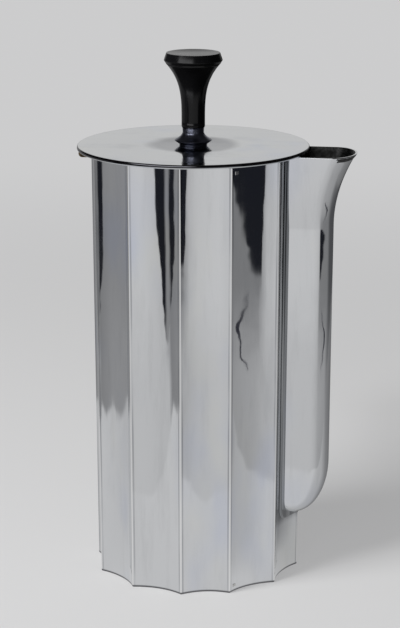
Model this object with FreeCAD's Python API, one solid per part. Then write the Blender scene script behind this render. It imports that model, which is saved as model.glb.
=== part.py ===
"""Fluted chrome coffee pot with a trough spout, a hinged flat lid and a straight side handle.

Row frame: millimetres, +Z up, origin on the body's axis at the surface it stands on.
The spout runs up the +X side, the lid hinges on the -X side and the handle points along +Y.
"""
import os

import FreeCAD
import Part

from math import cos, pi, radians, sin, sqrt

Vector = FreeCAD.Vector

# ---- driving dimensions -------------------------------------------------------------------
# fluted body
BODY_HEIGHT = 165.0
RIDGE_RADIUS_BASE = 39.8
RIDGE_RADIUS_TOP = 41.0
FLUTE_COUNT = 12
FLUTE_DEPTH = 2.1
RIDGE_ROUND = 0.45
WALL = 0.9
INNER_RIDGE_ROUND = 0.3
RIDGE_OFFSET_RATIO = 1.1
BASE_PLATE_Z = 2.0
BASE_PLATE_THICKNESS = 1.0

# ring soldered inside the mouth, with a round hole for the lid's collar
MOUTH_RING_Z = 162.0
MOUTH_RING_THICKNESS = 1.2
MOUTH_HOLE_RADIUS = 34.6

# trough spout
SPOUT_WALL = 0.8
SPOUT_FOOT_Z = 22.8
SPOUT_HULL_TOP_Z = 44.0
SPOUT_FLARE_Z = 137.0
SPOUT_FOOT_REACH = 39.0
SPOUT_REACH = 51.8
SPOUT_NECK_REACH = 52.4
SPOUT_TIP_REACH = 61.0
SPOUT_HALF_WIDTH = 9.7
SPOUT_MOUTH_HALF_WIDTH = 11.6
SPOUT_NOSE_LENGTH = 6.4
SPOUT_NOSE_SHARE = 0.6
SPOUT_HULL_START = 0.4
SPOUT_ROOT_X = 30.0
FLANGE_HALF_WIDTH = 12.9
FLANGE_THICKNESS = 0.7
FLANGE_FOOT_Z = 21.6
FLANGE_CORNER = 5.0

# strainer holes through the body wall behind the spout
STRAINER_RADIUS = 1.5
STRAINER_COLUMNS_Y = (-7.2, -3.2, 3.2, 7.2)
STRAINER_FIRST_Z = 38.0
STRAINER_PITCH = 9.0
STRAINER_ROWS = 11

# lid
LID_RADIUS = 44.1
LID_CENTRE_X = -1.4
LID_THICKNESS = 1.5
LID_GAP = 0.15
LID_EDGE_ROUND = 0.45
DISH_RADIUS = 20.0
DISH_DEPTH = 0.3
DISH_FLOOR_RADIUS = 6.0
COLLAR_RADIUS = 34.2
COLLAR_WALL = 0.8
COLLAR_DEPTH = 4.4

# hinge over the ridge opposite the spout
HINGE_X = -42.75
HINGE_Z = 163.3
BARREL_RADIUS = 1.45
PIN_RADIUS = 0.7
PIN_CLEARANCE = 0.05
PIN_HEAD_RADIUS = 1.1
PIN_HEAD_LENGTH = 0.6
LID_KNUCKLE_HALF = 3.0
KNUCKLE_GAP = 0.2
BRACKET_HALF = 8.0
BRACKET_FOOT_Z = 154.0
SADDLE_Z = 161.85
BRACKET_INNER_X = -36.5
LEAF_END_X = -37.5
LEAF_BOTTOM_Z = 164.15
SEAT_Z = 163.8

# knob, its ferrule and its fixing
FERRULE_FOOT_RADIUS = 5.2
FERRULE_RIM_RADIUS = 7.0
FERRULE_RIM_Z = 2.2
FERRULE_RIM_EDGE = 0.4
FERRULE_NECK_RADIUS = 4.0
FERRULE_NECK_Z = 5.2
FERRULE_TOP_RADIUS = 4.2
FERRULE_HEIGHT = 6.8
KNOB_STEM_RADIUS = 4.5
KNOB_RIM_RADIUS = 11.1
KNOB_TOP_RADIUS = 10.15
KNOB_TOP_Z = 201.5
KNOB_TOP_LAND = 0.8
KNOB_BEVEL = 2.2
KNOB_STRAIGHT = 1.0
KNOB_DISH = 0.5
FLARE_POWER = 3
FLARE_EDGE = 0.3
INSERT_RADIUS = 2.9
INSERT_LENGTH = 12.0
SCREW_RADIUS = 1.95
SCREW_CLEARANCE = 0.05
SCREW_LENGTH = 17.0
SCREW_HEAD_RADIUS = 3.6
SCREW_HEAD_HEIGHT = 1.9
SCREW_HEAD_FLAT_RADIUS = 2.2
SCREW_HEAD_ROUND = 0.8
SCREW_SLOT_WIDTH = 0.9
SCREW_SLOT_DEPTH = 0.9
WASHER_RADIUS = 6.5
WASHER_THICKNESS = 0.9

# straight side handle
HANDLE_Z = 102.0
BOSS_RADIUS = 12.0
BOSS_ROOT_Y = 34.0
BOSS_FACE_Y = 45.0
HANDLE_FERRULE_NECK = 7.6
HANDLE_FERRULE_LENGTH = 13.0
GRIP_START_RADIUS = 8.2
GRIP_RIM_RADIUS = 13.2
GRIP_TOP_RADIUS = 12.3
GRIP_END_Y = 148.0
GRIP_BEVEL = 2.6
GRIP_STRAIGHT = 2.0
STUD_RADIUS = 2.45
STUD_CLEARANCE = 0.05
STUD_SOCKET_DEPTH = 3.4
RECESS_RADIUS = 6.2
RECESS_DEPTH = 6.0
NUT_RADIUS = 5.2
NUT_HEIGHT = 4.6
NUT_DOME_HEIGHT = 1.2
NUT_DOME_RADIUS = 4.2
NUT_CROWN = 0.2
NUT_BORE_DEPTH = 3.3
NUT_SLOT_WIDTH = 1.2
NUT_SLOT_DEPTH = 0.8
STUD_IN_NUT = 3.2
HANDLE_WASHER_RADIUS = 5.8
HANDLE_WASHER_THICKNESS = 1.0

# ---- derived places -----------------------------------------------------------------------
HALF_FLUTE = pi / FLUTE_COUNT
LID_UNDER_Z = BODY_HEIGHT + LID_GAP
LID_TOP_Z = LID_UNDER_Z + LID_THICKNESS
KNOB_FOOT_Z = LID_TOP_Z + FERRULE_HEIGHT
GRIP_FOOT_Y = BOSS_FACE_Y + HANDLE_FERRULE_LENGTH
CUT_MARGIN = 1.0
CURVE_POINTS = 12


def ridge_radius(z):
    """Outer ridge radius of the slightly tapered body at height z."""
    return RIDGE_RADIUS_BASE + (RIDGE_RADIUS_TOP - RIDGE_RADIUS_BASE) * z / BODY_HEIGHT


def polar(radius, angle, z):
    return Vector(radius * cos(angle), radius * sin(angle), z)


def fluted_wire(ridge, valley, ridge_round, z):
    """Closed outline: hollow arcs between rounded ridges, each arc tangent to the next."""
    c = cos(HALF_FLUTE)
    inner = ridge - ridge_round
    top = valley * valley - 2 * inner * valley * c + inner * inner - ridge_round * ridge_round
    hollow = top / (2 * (ridge_round - valley + inner * c))
    centre = valley + hollow
    reach = sqrt(inner * inner + centre * centre - 2 * inner * centre * c)
    along = (centre * c - inner) / reach * ridge_round
    across = centre * sin(HALF_FLUTE) / reach * ridge_round
    tangent_radius = sqrt((inner + along) ** 2 + across ** 2)
    tangent_angle = across / (inner + along)
    edges = []
    for k in range(FLUTE_COUNT):
        ridge_angle = 2 * HALF_FLUTE * k
        before = polar(tangent_radius, ridge_angle - tangent_angle, z)
        after = polar(tangent_radius, ridge_angle + tangent_angle, z)
        following = polar(tangent_radius, ridge_angle + 2 * HALF_FLUTE - tangent_angle, z)
        edges.append(Part.Arc(before, polar(ridge, ridge_angle, z), after).toShape())
        edges.append(Part.Arc(after, polar(valley, ridge_angle + HALF_FLUTE, z), following).toShape())
    return Part.Wire(edges)


def fluted_prism(offset, ridge_round):
    """Tapered fluted solid from floor to mouth, its surface moved out by offset."""
    wires = []
    for z in (0.0, BODY_HEIGHT):
        ridge = ridge_radius(z)
        valley = ridge * cos(HALF_FLUTE) - FLUTE_DEPTH
        wires.append(fluted_wire(ridge + RIDGE_OFFSET_RATIO * offset, valley + offset, ridge_round, z))
    return Part.makeLoft(wires, True, True)


def box(x0, x1, y0, y1, z0, z1):
    return Part.makeBox(x1 - x0, y1 - y0, z1 - z0, Vector(x0, y0, z0))


def rod(radius, length, start, direction):
    return Part.makeCylinder(radius, length, start, direction)


def upright(radius, z0, z1, x=0.0):
    return rod(radius, z1 - z0, Vector(x, 0, z0), Vector(0, 0, 1))


def screw_hole(z0, z1):
    """Clearance hole for the knob's screw, on the lid's axis."""
    return upright(SCREW_RADIUS + SCREW_CLEARANCE, z0, z1, LID_CENTRE_X)


def turned(outline):
    """Solid of revolution about Z from (radius, height) points; a list in it is a smooth curve."""
    edges = []
    last = None
    for item in outline:
        points = [Vector(r, 0, z) for r, z in (item if isinstance(item, list) else [item])]
        if last is not None and last.distanceToPoint(points[0]) > 1e-6:
            edges.append(Part.LineSegment(last, points[0]).toShape())
        if len(points) > 1:
            curve = Part.BSplineCurve()
            curve.interpolate(points)
            edges.append(curve.toShape())
        last = points[-1]
    first = edges[0].Vertexes[0].Point
    if last.distanceToPoint(first) > 1e-6:
        edges.append(Part.LineSegment(last, first).toShape())
    face = Part.Face(Part.Wire(edges))
    return face.revolve(Vector(0, 0, 0), Vector(0, 0, 1), 360)


def flare(start_radius, end_radius, start, end):
    """Trumpet curve that leaves the stem straight and opens ever faster."""
    points = []
    for i in range(CURVE_POINTS + 1):
        t = i / CURVE_POINTS
        radius = start_radius + (end_radius - start_radius) * t ** FLARE_POWER
        points.append((radius, start + (end - start) * t))
    return points


def on_lid(shape):
    shape.translate(Vector(LID_CENTRE_X, 0, 0))
    return shape


def on_handle(shape):
    """Lay a solid turned about Z along +Y at the handle's height."""
    shape.rotate(Vector(0, 0, 0), Vector(1, 0, 0), -90)
    shape.translate(Vector(0, 0, HANDLE_Z))
    return shape


# ---- body ---------------------------------------------------------------------------------
def outer_volume():
    return fluted_prism(0.0, RIDGE_ROUND)


def inner_volume():
    return fluted_prism(-WALL, INNER_RIDGE_ROUND)


def strainer_holes():
    holes = []
    for row in range(STRAINER_ROWS):
        z = STRAINER_FIRST_Z + STRAINER_PITCH * row
        for y in STRAINER_COLUMNS_Y:
            holes.append(rod(STRAINER_RADIUS, RIDGE_RADIUS_TOP, Vector(SPOUT_ROOT_X, y, z), Vector(1, 0, 0)))
    return Part.makeCompound(holes)


def hinge_seat():
    """The piece of the rim that the hinge bracket takes the place of."""
    half = BRACKET_HALF
    return box(HINGE_X, BRACKET_INNER_X, -half, half, SADDLE_Z, BODY_HEIGHT + CUT_MARGIN)


def body_shell():
    shell = outer_volume().cut(inner_volume())
    return shell.cut(hinge_seat()).cut(strainer_holes())


def slab(z0, thickness):
    reach = 2 * RIDGE_RADIUS_TOP
    return box(-reach, reach, -reach, reach, z0, z0 + thickness)


def base_plate():
    return inner_volume().common(slab(BASE_PLATE_Z, BASE_PLATE_THICKNESS))


def mouth_ring():
    ring = inner_volume().common(slab(MOUTH_RING_Z, MOUTH_RING_THICKNESS))
    return ring.cut(upright(MOUTH_HOLE_RADIUS, MOUTH_RING_Z - CUT_MARGIN, BODY_HEIGHT)).cut(hinge_seat())


# ---- spout --------------------------------------------------------------------------------
def spout_reach(z):
    """Distance of the spout's nose from the body's axis: hull foot, straight run, flared mouth."""
    if z < SPOUT_HULL_TOP_Z:
        drop = (SPOUT_HULL_TOP_Z - z) / (SPOUT_HULL_TOP_Z - SPOUT_FOOT_Z)
        return SPOUT_FOOT_REACH + (SPOUT_REACH - SPOUT_FOOT_REACH) * sqrt(max(0.0, 1 - drop * drop))
    if z < SPOUT_FLARE_Z:
        climb = (z - SPOUT_HULL_TOP_Z) / (SPOUT_FLARE_Z - SPOUT_HULL_TOP_Z)
        return SPOUT_REACH + (SPOUT_NECK_REACH - SPOUT_REACH) * climb
    climb = (z - SPOUT_FLARE_Z) / (BODY_HEIGHT - SPOUT_FLARE_Z)
    return SPOUT_NECK_REACH + (SPOUT_TIP_REACH - SPOUT_NECK_REACH) * climb ** 2


def spout_half_width(z):
    if z < SPOUT_FLARE_Z:
        return SPOUT_HALF_WIDTH
    climb = (z - SPOUT_FLARE_Z) / (BODY_HEIGHT - SPOUT_FLARE_Z)
    return SPOUT_HALF_WIDTH + (SPOUT_MOUTH_HALF_WIDTH - SPOUT_HALF_WIDTH) * climb


def spout_section(z, inset, reach, half_width):
    """Horizontal U outline of the trough at height z, moved in by inset, closed inside the body."""
    half = half_width - inset
    tip = reach - inset
    nose = min(SPOUT_NOSE_LENGTH, SPOUT_NOSE_SHARE * (tip - SPOUT_ROOT_X))
    turn = tip - nose
    points = []
    for i in range(CURVE_POINTS + 1):
        angle = pi * i / CURVE_POINTS - pi / 2
        points.append(Vector(turn + nose * cos(angle), half * sin(angle), z))
    curve = Part.BSplineCurve()
    curve.interpolate(points)
    low = Vector(SPOUT_ROOT_X, -half, z)
    high = Vector(SPOUT_ROOT_X, half, z)
    lines = [(low, points[0]), (points[-1], high), (high, low)]
    near, far, back = [Part.LineSegment(a, b).toShape() for a, b in lines]
    return Part.Wire([near, curve.toShape(), far, back])


def spout_volume(inset):
    """The trough's outer volume for inset 0, or the channel inside it for the wall thickness."""
    foot = SPOUT_FOOT_Z + inset
    hull = []
    hull_steps = 7
    for i in range(hull_steps):
        angle = 0.5 * pi * (i + SPOUT_HULL_START) / (hull_steps - 1 + SPOUT_HULL_START)
        hull.append(SPOUT_HULL_TOP_Z - (SPOUT_HULL_TOP_Z - foot) * cos(angle))
    hull[-1] = SPOUT_HULL_TOP_Z
    flare_steps = 5
    rise = (BODY_HEIGHT - SPOUT_FLARE_Z) / flare_steps
    mouth = [SPOUT_FLARE_Z + rise * i for i in range(flare_steps + 1)]
    spans = [hull, [SPOUT_HULL_TOP_Z, SPOUT_FLARE_Z], mouth]
    volume = None
    for heights in spans:
        wires = [spout_section(z, inset, spout_reach(z), spout_half_width(z)) for z in heights]
        piece = Part.makeLoft(wires, True, True)
        volume = piece if volume is None else volume.fuse(piece)
    return volume.removeSplitter()


def flange_window():
    """Rounded-foot outline of the soldering flange, pushed through the spout side of the body."""
    y = FLANGE_HALF_WIDTH
    r = FLANGE_CORNER
    z = FLANGE_FOOT_Z
    q = r * (1 - sqrt(0.5))
    x = SPOUT_ROOT_X
    top = BODY_HEIGHT
    corners = [
        Part.LineSegment(Vector(x, y, top), Vector(x, y, z + r)),
        Part.Arc(Vector(x, y, z + r), Vector(x, y - q, z + q), Vector(x, y - r, z)),
        Part.LineSegment(Vector(x, y - r, z), Vector(x, r - y, z)),
        Part.Arc(Vector(x, r - y, z), Vector(x, q - y, z + q), Vector(x, -y, z + r)),
        Part.LineSegment(Vector(x, -y, z + r), Vector(x, -y, top)),
        Part.LineSegment(Vector(x, -y, top), Vector(x, y, top)),
    ]
    face = Part.Face(Part.Wire([edge.toShape() for edge in corners]))
    return face.extrude(Vector(RIDGE_RADIUS_TOP, 0, 0))


def spout():
    body = outer_volume()
    trough = spout_volume(0.0).cut(body)
    flange = fluted_prism(FLANGE_THICKNESS, RIDGE_ROUND).common(flange_window()).cut(body)
    half = SPOUT_HALF_WIDTH
    top = box(SPOUT_ROOT_X, SPOUT_TIP_REACH, -half, half, BODY_HEIGHT, BODY_HEIGHT + CUT_MARGIN)
    channel = spout_volume(SPOUT_WALL).fuse(top)
    return trough.fuse(flange).cut(channel).removeSplitter()


# ---- lid ----------------------------------------------------------------------------------
def lid_disc():
    """Flat disc with rounded edges and a shallow dish under the knob."""
    e = LID_EDGE_ROUND
    r = LID_RADIUS
    dish = []
    for i in range(CURVE_POINTS + 1):
        t = i / CURVE_POINTS
        radius = DISH_RADIUS + (DISH_FLOOR_RADIUS - DISH_RADIUS) * t
        dish.append((radius, LID_TOP_Z - DISH_DEPTH * 0.5 * (1 - cos(pi * t))))
    outline = [
        (0, LID_UNDER_Z), (r - e, LID_UNDER_Z), (r, LID_UNDER_Z + e),
        (r, LID_TOP_Z - e), (r - e, LID_TOP_Z), dish, (0, LID_TOP_Z - DISH_DEPTH),
    ]
    return on_lid(turned(outline)).cut(screw_hole(LID_UNDER_Z - CUT_MARGIN, LID_TOP_Z + CUT_MARGIN))


def lid_collar():
    """Locating collar under the lid; it is round about the body's axis, not the lid's."""
    foot = LID_UNDER_Z - COLLAR_DEPTH
    outside = upright(COLLAR_RADIUS, foot, LID_UNDER_Z)
    return outside.cut(upright(COLLAR_RADIUS - COLLAR_WALL, foot - CUT_MARGIN, LID_UNDER_Z + CUT_MARGIN))


# ---- hinge --------------------------------------------------------------------------------
def barrel(radius, y0, y1):
    return rod(radius, y1 - y0, Vector(HINGE_X, y0, HINGE_Z), Vector(0, 1, 0))


def hinge_bracket():
    """Leaf soldered inside the mouth, a saddle over the rim and a knuckle each side of the lid's."""
    half = BRACKET_HALF
    inner_y = LID_KNUCKLE_HALF + KNUCKLE_GAP
    leaf = box(HINGE_X, BRACKET_INNER_X, -half, half, BRACKET_FOOT_Z, SADDLE_Z).common(inner_volume())
    saddle = box(HINGE_X, BRACKET_INNER_X, -half, half, SADDLE_Z, BODY_HEIGHT).common(outer_volume())
    bracket = leaf.fuse(saddle)
    for y0, y1 in ((-half, -inner_y), (inner_y, half)):
        arm = box(HINGE_X, LEAF_END_X, y0, y1, SADDLE_Z, HINGE_Z)
        bracket = bracket.fuse(arm).fuse(barrel(BARREL_RADIUS, y0, y1))
    seat = box(HINGE_X, BRACKET_INNER_X + CUT_MARGIN, -inner_y, inner_y, SEAT_Z, BODY_HEIGHT + CUT_MARGIN)
    bore = barrel(PIN_RADIUS, -half - CUT_MARGIN, half + CUT_MARGIN)
    return bracket.cut(seat).cut(bore).removeSplitter()


def hinge_lid_leaf():
    """Strap soldered under the lid's edge, rolled into the middle knuckle."""
    half = LID_KNUCKLE_HALF
    strap = box(HINGE_X - BARREL_RADIUS, LEAF_END_X, -half, half, LEAF_BOTTOM_Z, LID_UNDER_Z)
    leaf = strap.fuse(barrel(BARREL_RADIUS, -half, half))
    bore = barrel(PIN_RADIUS + PIN_CLEARANCE, -half - CUT_MARGIN, half + CUT_MARGIN)
    return leaf.cut(bore).removeSplitter()


def hinge_pin():
    pin = barrel(PIN_RADIUS, -BRACKET_HALF, BRACKET_HALF)
    for y in (-BRACKET_HALF - PIN_HEAD_LENGTH, BRACKET_HALF):
        pin = pin.fuse(barrel(PIN_HEAD_RADIUS, y, y + PIN_HEAD_LENGTH))
    return pin.removeSplitter()


# ---- knob ---------------------------------------------------------------------------------
def knob_ferrule():
    """Chrome collar: undercut foot, thin rim, then a hollow curve up to the neck."""
    z = LID_TOP_Z - DISH_DEPTH
    curve = []
    for i in range(CURVE_POINTS + 1):
        t = i / CURVE_POINTS
        radius = FERRULE_NECK_RADIUS + (FERRULE_RIM_RADIUS - FERRULE_NECK_RADIUS) * (1 - t) ** FLARE_POWER
        curve.append((radius, z + FERRULE_RIM_Z + (FERRULE_NECK_Z - FERRULE_RIM_Z) * t))
    outline = [
        (0, z), (FERRULE_FOOT_RADIUS, z), (FERRULE_RIM_RADIUS, z + FERRULE_RIM_Z - FERRULE_RIM_EDGE),
        curve, (FERRULE_TOP_RADIUS, KNOB_FOOT_Z), (0, KNOB_FOOT_Z),
    ]
    return on_lid(turned(outline)).cut(screw_hole(z - CUT_MARGIN, KNOB_FOOT_Z + CUT_MARGIN))


def knob():
    """Black trumpet knob with a bevelled, slightly dished top and a socket for its insert."""
    bevel_z = KNOB_TOP_Z - KNOB_BEVEL
    flare_end = KNOB_RIM_RADIUS - FLARE_EDGE
    outline = [
        (0, KNOB_FOOT_Z), (KNOB_STEM_RADIUS, KNOB_FOOT_Z),
        flare(KNOB_STEM_RADIUS, flare_end, KNOB_FOOT_Z + KNOB_STRAIGHT, bevel_z - FLARE_EDGE),
        (KNOB_RIM_RADIUS, bevel_z), (KNOB_TOP_RADIUS, KNOB_TOP_Z),
        (KNOB_TOP_RADIUS - KNOB_TOP_LAND, KNOB_TOP_Z), (0, KNOB_TOP_Z - KNOB_DISH),
    ]
    solid = on_lid(turned(outline))
    socket = upright(INSERT_RADIUS, KNOB_FOOT_Z, KNOB_FOOT_Z + INSERT_LENGTH, LID_CENTRE_X)
    return solid.cut(socket)


def knob_insert():
    top = KNOB_FOOT_Z + INSERT_LENGTH
    insert = upright(INSERT_RADIUS, KNOB_FOOT_Z, top, LID_CENTRE_X)
    return insert.cut(screw_hole(KNOB_FOOT_Z, top - CUT_MARGIN))


def knob_washer():
    foot = LID_UNDER_Z - WASHER_THICKNESS
    washer = upright(WASHER_RADIUS, foot, LID_UNDER_Z, LID_CENTRE_X)
    return washer.cut(screw_hole(foot - CUT_MARGIN, LID_UNDER_Z + CUT_MARGIN))


def knob_screw():
    """Slotted screw from inside the lid up into the knob's insert."""
    head_top = LID_UNDER_Z - WASHER_THICKNESS
    head_foot = head_top - SCREW_HEAD_HEIGHT
    shoulder = (SCREW_HEAD_RADIUS, head_foot + SCREW_HEAD_ROUND)
    dome = [(0, head_foot), (SCREW_HEAD_FLAT_RADIUS, head_foot), shoulder]
    head = on_lid(turned(dome + [(SCREW_HEAD_RADIUS, head_top), (0, head_top)]))
    shank = upright(SCREW_RADIUS, head_top, head_top + SCREW_LENGTH, LID_CENTRE_X)
    slot = box(
        LID_CENTRE_X - SCREW_HEAD_RADIUS, LID_CENTRE_X + SCREW_HEAD_RADIUS,
        -0.5 * SCREW_SLOT_WIDTH, 0.5 * SCREW_SLOT_WIDTH, head_foot, head_foot + SCREW_SLOT_DEPTH,
    )
    return head.fuse(shank).cut(slot).removeSplitter()


# ---- handle -------------------------------------------------------------------------------
def handle_rod(y0, y1, radius):
    return rod(radius, y1 - y0, Vector(0, y0, HANDLE_Z), Vector(0, 1, 0))


def stud_hole(y0, y1):
    """Clearance hole for the stud, on the handle's axis."""
    return handle_rod(y0, y1, STUD_RADIUS + STUD_CLEARANCE)


def handle_boss():
    """Round chrome boss soldered over a ridge, with a blind threaded socket for the stud."""
    boss = handle_rod(BOSS_ROOT_Y, BOSS_FACE_Y, BOSS_RADIUS)
    socket = stud_hole(BOSS_FACE_Y - STUD_SOCKET_DEPTH, BOSS_FACE_Y)
    return boss.cut(outer_volume()).cut(socket)


def handle_ferrule():
    curve = []
    for i in range(CURVE_POINTS + 1):
        t = i / CURVE_POINTS
        radius = HANDLE_FERRULE_NECK + (BOSS_RADIUS - HANDLE_FERRULE_NECK) * (1 - t) ** FLARE_POWER
        curve.append((radius, BOSS_FACE_Y + HANDLE_FERRULE_LENGTH * t))
    solid = on_handle(turned([(0, BOSS_FACE_Y), curve, (0, GRIP_FOOT_Y)]))
    return solid.cut(stud_hole(BOSS_FACE_Y - CUT_MARGIN, GRIP_FOOT_Y + CUT_MARGIN))


def handle_grip():
    bevel_y = GRIP_END_Y - GRIP_BEVEL
    flare_end = GRIP_RIM_RADIUS - FLARE_EDGE
    outline = [
        (0, GRIP_FOOT_Y), (GRIP_START_RADIUS, GRIP_FOOT_Y),
        flare(GRIP_START_RADIUS, flare_end, GRIP_FOOT_Y + GRIP_STRAIGHT, bevel_y - FLARE_EDGE),
        (GRIP_RIM_RADIUS, bevel_y), (GRIP_TOP_RADIUS, GRIP_END_Y), (0, GRIP_END_Y),
    ]
    past_end = GRIP_END_Y + CUT_MARGIN
    recess = handle_rod(GRIP_END_Y - RECESS_DEPTH, past_end, RECESS_RADIUS)
    return on_handle(turned(outline)).cut(stud_hole(GRIP_FOOT_Y - CUT_MARGIN, past_end)).cut(recess)


def handle_stud():
    start = BOSS_FACE_Y - STUD_SOCKET_DEPTH
    end = GRIP_END_Y - RECESS_DEPTH + HANDLE_WASHER_THICKNESS + STUD_IN_NUT
    return handle_rod(start, end, STUD_RADIUS)


def handle_washer():
    start = GRIP_END_Y - RECESS_DEPTH
    end = start + HANDLE_WASHER_THICKNESS
    return handle_rod(start, end, HANDLE_WASHER_RADIUS).cut(stud_hole(start - CUT_MARGIN, end + CUT_MARGIN))


def handle_nut():
    """Round slotted cap nut let into the end of the grip."""
    start = GRIP_END_Y - RECESS_DEPTH + HANDLE_WASHER_THICKNESS
    end = start + NUT_HEIGHT
    dome = [(NUT_RADIUS, end - NUT_DOME_HEIGHT), (NUT_DOME_RADIUS, end - NUT_CROWN), (0, end)]
    nut = on_handle(turned([(0, start), (NUT_RADIUS, start)] + dome))
    half = 0.5 * NUT_SLOT_WIDTH
    r = NUT_RADIUS
    slot = box(-r, r, end - NUT_SLOT_DEPTH, end + CUT_MARGIN, HANDLE_Z - half, HANDLE_Z + half)
    return nut.cut(slot).cut(stud_hole(start - CUT_MARGIN, start + NUT_BORE_DEPTH))


NODES = {
    "body_shell": body_shell,
    "base_plate": base_plate,
    "mouth_ring": mouth_ring,
    "spout": spout,
    "hinge_bracket": hinge_bracket,
    "hinge_pin": hinge_pin,
    "hinge_lid_leaf": hinge_lid_leaf,
    "lid_disc": lid_disc,
    "lid_collar": lid_collar,
    "knob_ferrule": knob_ferrule,
    "knob": knob,
    "knob_insert": knob_insert,
    "knob_washer": knob_washer,
    "knob_screw": knob_screw,
    "handle_boss": handle_boss,
    "handle_ferrule": handle_ferrule,
    "handle_grip": handle_grip,
    "handle_stud": handle_stud,
    "handle_washer": handle_washer,
    "handle_nut": handle_nut,
}


def main():
    os.makedirs("parts", exist_ok=True)
    for name, make in NODES.items():
        shape = make()
        solids = shape.Solids
        if len(solids) != 1 or not shape.isValid():
            raise RuntimeError("%s has %d solids, valid %s" % (name, len(solids), shape.isValid()))
        solids[0].exportStep("parts/%s.step" % name)
        box_ = solids[0].BoundBox
        print("%-16s %9.1f mm3  x %.2f..%.2f  y %.2f..%.2f  z %.2f..%.2f" % (
            name, solids[0].Volume, box_.XMin, box_.XMax, box_.YMin, box_.YMax, box_.ZMin, box_.ZMax))


main()
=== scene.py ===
"""Looks of the fluted coffee pot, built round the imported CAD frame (metres, +Z up, spout on +X)."""

import bpy
import numpy as np
from math import cos, pi, radians, sin, sqrt, tan
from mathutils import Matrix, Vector


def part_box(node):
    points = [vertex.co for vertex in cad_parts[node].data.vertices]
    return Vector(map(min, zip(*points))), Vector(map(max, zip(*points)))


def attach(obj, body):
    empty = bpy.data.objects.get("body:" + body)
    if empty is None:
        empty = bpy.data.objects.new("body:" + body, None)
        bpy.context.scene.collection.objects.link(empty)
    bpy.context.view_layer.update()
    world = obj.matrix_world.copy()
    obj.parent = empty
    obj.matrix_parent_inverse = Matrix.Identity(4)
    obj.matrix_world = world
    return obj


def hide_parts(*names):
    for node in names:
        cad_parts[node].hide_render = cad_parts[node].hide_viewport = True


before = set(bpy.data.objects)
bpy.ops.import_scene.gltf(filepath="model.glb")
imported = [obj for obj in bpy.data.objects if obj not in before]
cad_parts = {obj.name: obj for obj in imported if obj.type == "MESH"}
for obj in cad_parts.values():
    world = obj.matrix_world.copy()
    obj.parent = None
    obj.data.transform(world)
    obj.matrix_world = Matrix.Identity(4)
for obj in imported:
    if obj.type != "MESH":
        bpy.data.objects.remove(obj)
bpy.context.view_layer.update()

MM = 0.001

# ---- places read from the frame -----------------------------------------------------------
BODY_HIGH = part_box("body_shell")[1]
LID_LOW, LID_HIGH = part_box("lid_disc")
SPOUT_LOW, SPOUT_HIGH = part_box("spout")
BOSS_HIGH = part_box("handle_boss")[1]
GRIP_LOW, GRIP_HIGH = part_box("handle_grip")
HANDLE_FERRULE_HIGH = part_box("handle_ferrule")[1]
FERRULE_LOW, FERRULE_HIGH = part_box("knob_ferrule")
KNOB_LOW, KNOB_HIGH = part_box("knob")
PIN_LOW, PIN_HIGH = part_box("hinge_pin")

# fluted body: RIDGE_ is the radius over the ridges
BODY_TOP = BODY_HIGH.z
RIDGE_TOP = BODY_HIGH.x
TAPER = 1.2 * MM
RIDGE_BASE = RIDGE_TOP - TAPER
FLUTES = 12
HALF_FLUTE = pi / FLUTES
FLUTE_DEPTH = 2.1 * MM
RIDGE_ROUND = 0.45 * MM
WALL = 0.9 * MM
STRAINER_RADIUS = 1.5 * MM
STRAINER_COLUMNS = (-7.2 * MM, -3.2 * MM, 3.2 * MM, 7.2 * MM)
STRAINER_FOOT, STRAINER_PITCH, STRAINER_ROWS = 38 * MM, 9 * MM, 11
STRAINER_CUT_X, STRAINER_CUT_DEPTH = 36 * MM, 8 * MM
SADDLE_Z, SADDLE_HALF, SADDLE_DEPTH = 161.85 * MM, 8 * MM, 6.25 * MM
CUT_MARGIN = 1 * MM

# lid, knob, hinge and handle
LID_THICKNESS = 1.5 * MM
LID_X = 0.5 * (LID_LOW.x + LID_HIGH.x)
LID_UNDER = LID_LOW.z
LID_TOP = LID_UNDER + LID_THICKNESS
LID_RADIUS = 0.5 * (LID_HIGH.y - LID_LOW.y)
KNOB_X = 0.5 * (KNOB_LOW.x + KNOB_HIGH.x)
HINGE_X = 0.5 * (PIN_LOW.x + PIN_HIGH.x)
HANDLE_Z = 0.5 * (GRIP_LOW.z + GRIP_HIGH.z)


# ---- mesh helpers -------------------------------------------------------------------------
def add_piece(name, points, faces, body, material, replaced=(), second=None, second_faces=()):
    """New smooth mesh that rides on a body; second_faces take the second material."""
    mesh = bpy.data.meshes.new(name)
    mesh.from_pydata([tuple(p) for p in points], [], faces)
    mesh.update()
    mesh.polygons.foreach_set("use_smooth", [True] * len(mesh.polygons))
    mesh.materials.append(material)
    if second:
        mesh.materials.append(second)
        for index in second_faces:
            mesh.polygons[index].material_index = 1
    piece = bpy.data.objects.new(name, mesh)
    bpy.context.scene.collection.objects.link(piece)
    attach(piece, body)
    if replaced:
        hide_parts(*replaced)
    return piece


def grid_faces(rows, columns, close_rows, close_columns, start=0):
    """Quads of a rows x columns grid of points stored row by row."""
    faces = []
    for i in range(rows if close_rows else rows - 1):
        below = start + i * columns
        above = start + ((i + 1) % rows) * columns
        for j in range(columns if close_columns else columns - 1):
            k = (j + 1) % columns
            faces.append((below + j, below + k, above + k, above + j))
    return faces


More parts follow.
